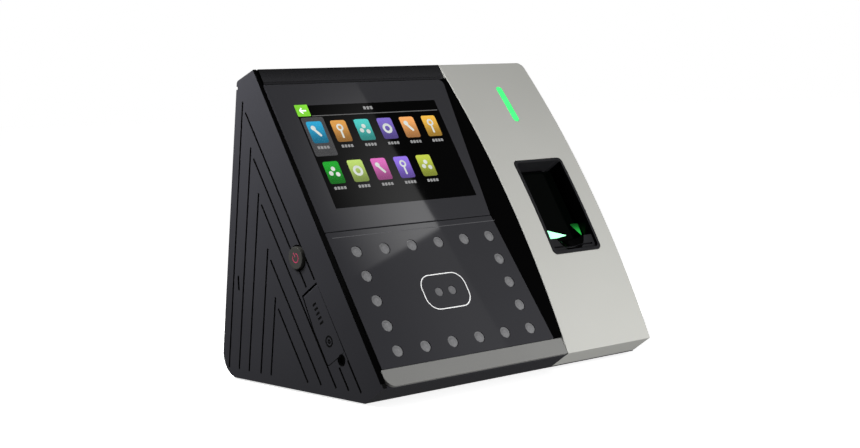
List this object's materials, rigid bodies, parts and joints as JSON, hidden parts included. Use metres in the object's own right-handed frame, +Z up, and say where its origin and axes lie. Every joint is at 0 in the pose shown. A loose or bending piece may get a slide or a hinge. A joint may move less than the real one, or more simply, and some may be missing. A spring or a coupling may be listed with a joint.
{
  "type": "fingerprint scanner terminal",
  "caption": "Wedge-shaped desk terminal with a sloping touch screen, a lamp window with two cameras, a fingerprint window, side button, side flap and rear sockets.",
  "frame": {"origin": "middle of the footprint, on the surface that the rubber feet stand on", "axes": "+X to the right as seen from the front, along the width; the sloping front looks along -Y; +Z is up"},
  "size_m": [0.1952, 0.137, 0.1664],
  "materials": {
    "housing_plastic": "fine matt texture",
    "frame_black": "gloss black",
    "screen_glass": "polished, black printed border",
    "lamp_window": "polished smoked acrylic",
    "strip_grey": "satin grey paint",
    "panel_silver": "fine satin silver paint",
    "sensor_glass": "coated optical glass",
    "module_black": "matt",
    "status_green": "lit translucent green",
    "display_black": "display glass",
    "tray_metal": "rolled sheet",
    "board_green": "solder mask",
    "lamp_lens": "clear epoxy dome",
    "chip_black": "moulded",
    "jack_black": "moulded",
    "socket_steel": "tinned",
    "terminal_green": "moulded",
    "battery_wrap": "shrink wrap",
    "seal_foam": "closed-cell foam",
    "button_plastic": "smooth satin",
    "white_plastic": "moulded",
    "pin_steel": "ground",
    "ribbon_amber": "polyimide",
    "foot_rubber": "moulded",
    "screw_steel": "zinc plated"
  },
  "bodies": {
    "root": {"housing": "housing_plastic", "rear_cover": "housing_plastic", "front_frame": "frame_black", "screen_glass": "screen_glass", "lamp_window": "lamp_window", "trim_strip": "strip_grey", "sensor_panel": "panel_silver", "panel_flank": "frame_black", "window_frame": "frame_black", "sensor_prism": "sensor_glass", "sensor_module": "module_black", "status_light": "status_green", "display_panel": "display_black", "display_tray": "tray_metal", "lamp_board": "board_green", "infrared_lamps": "lamp_lens", "camera_board": "board_green", "camera_barrels": "module_black", "main_board": "board_green", "board_parts": "chip_black", "connector_board": "board_green", "dc_jack": "jack_black", "network_socket": "socket_steel", "terminal_block": "terminal_green", "backup_battery": "battery_wrap", "speaker": "module_black", "speaker_seal": "seal_foam", "io_board": "board_green", "usb_socket": "socket_steel", "reset_switch": "chip_black", "power_switch": "chip_black", "flap_pin": "pin_steel", "tamper_switch": "chip_black", "screen_ribbon": "ribbon_amber", "lamp_ribbon": "ribbon_amber", "rubber_feet": "foot_rubber", "cover_screws": "screw_steel", "board_screws": "screw_steel", "tray_screws": "screw_steel"},
    "power_button": {"power_button": "button_plastic"},
    "side_flap": {"side_flap": "housing_plastic"},
    "reset_button": {"reset_button": "white_plastic"},
    "tamper_plunger": {"tamper_plunger": "white_plastic"}
  },
  "joints": [
    {"name": "power_press", "type": "slide", "parent": "root", "child": "power_button", "axis": [1, 0, 0], "range_m": [0, 0.001], "stiffness_N_per_m": 900, "springref_m": -0.0006},
    {"name": "flap_hinge", "type": "hinge", "parent": "root", "child": "side_flap", "pos_m": [-0.09525, -0.01279, 0.05322], "axis": [0, 0.8485, -0.5292], "range_deg": [0, 90]},
    {"name": "reset_press", "type": "slide", "parent": "root", "child": "reset_button", "axis": [1, 0, 0], "range_m": [0, 0.0005], "stiffness_N_per_m": 400, "springref_m": -0.0006},
    {"name": "tamper_press", "type": "slide", "parent": "root", "child": "tamper_plunger", "axis": [0, -0.9869, -0.1616], "range_m": [0, 0.0016], "stiffness_N_per_m": 300, "springref_m": -0.001}
  ]
}
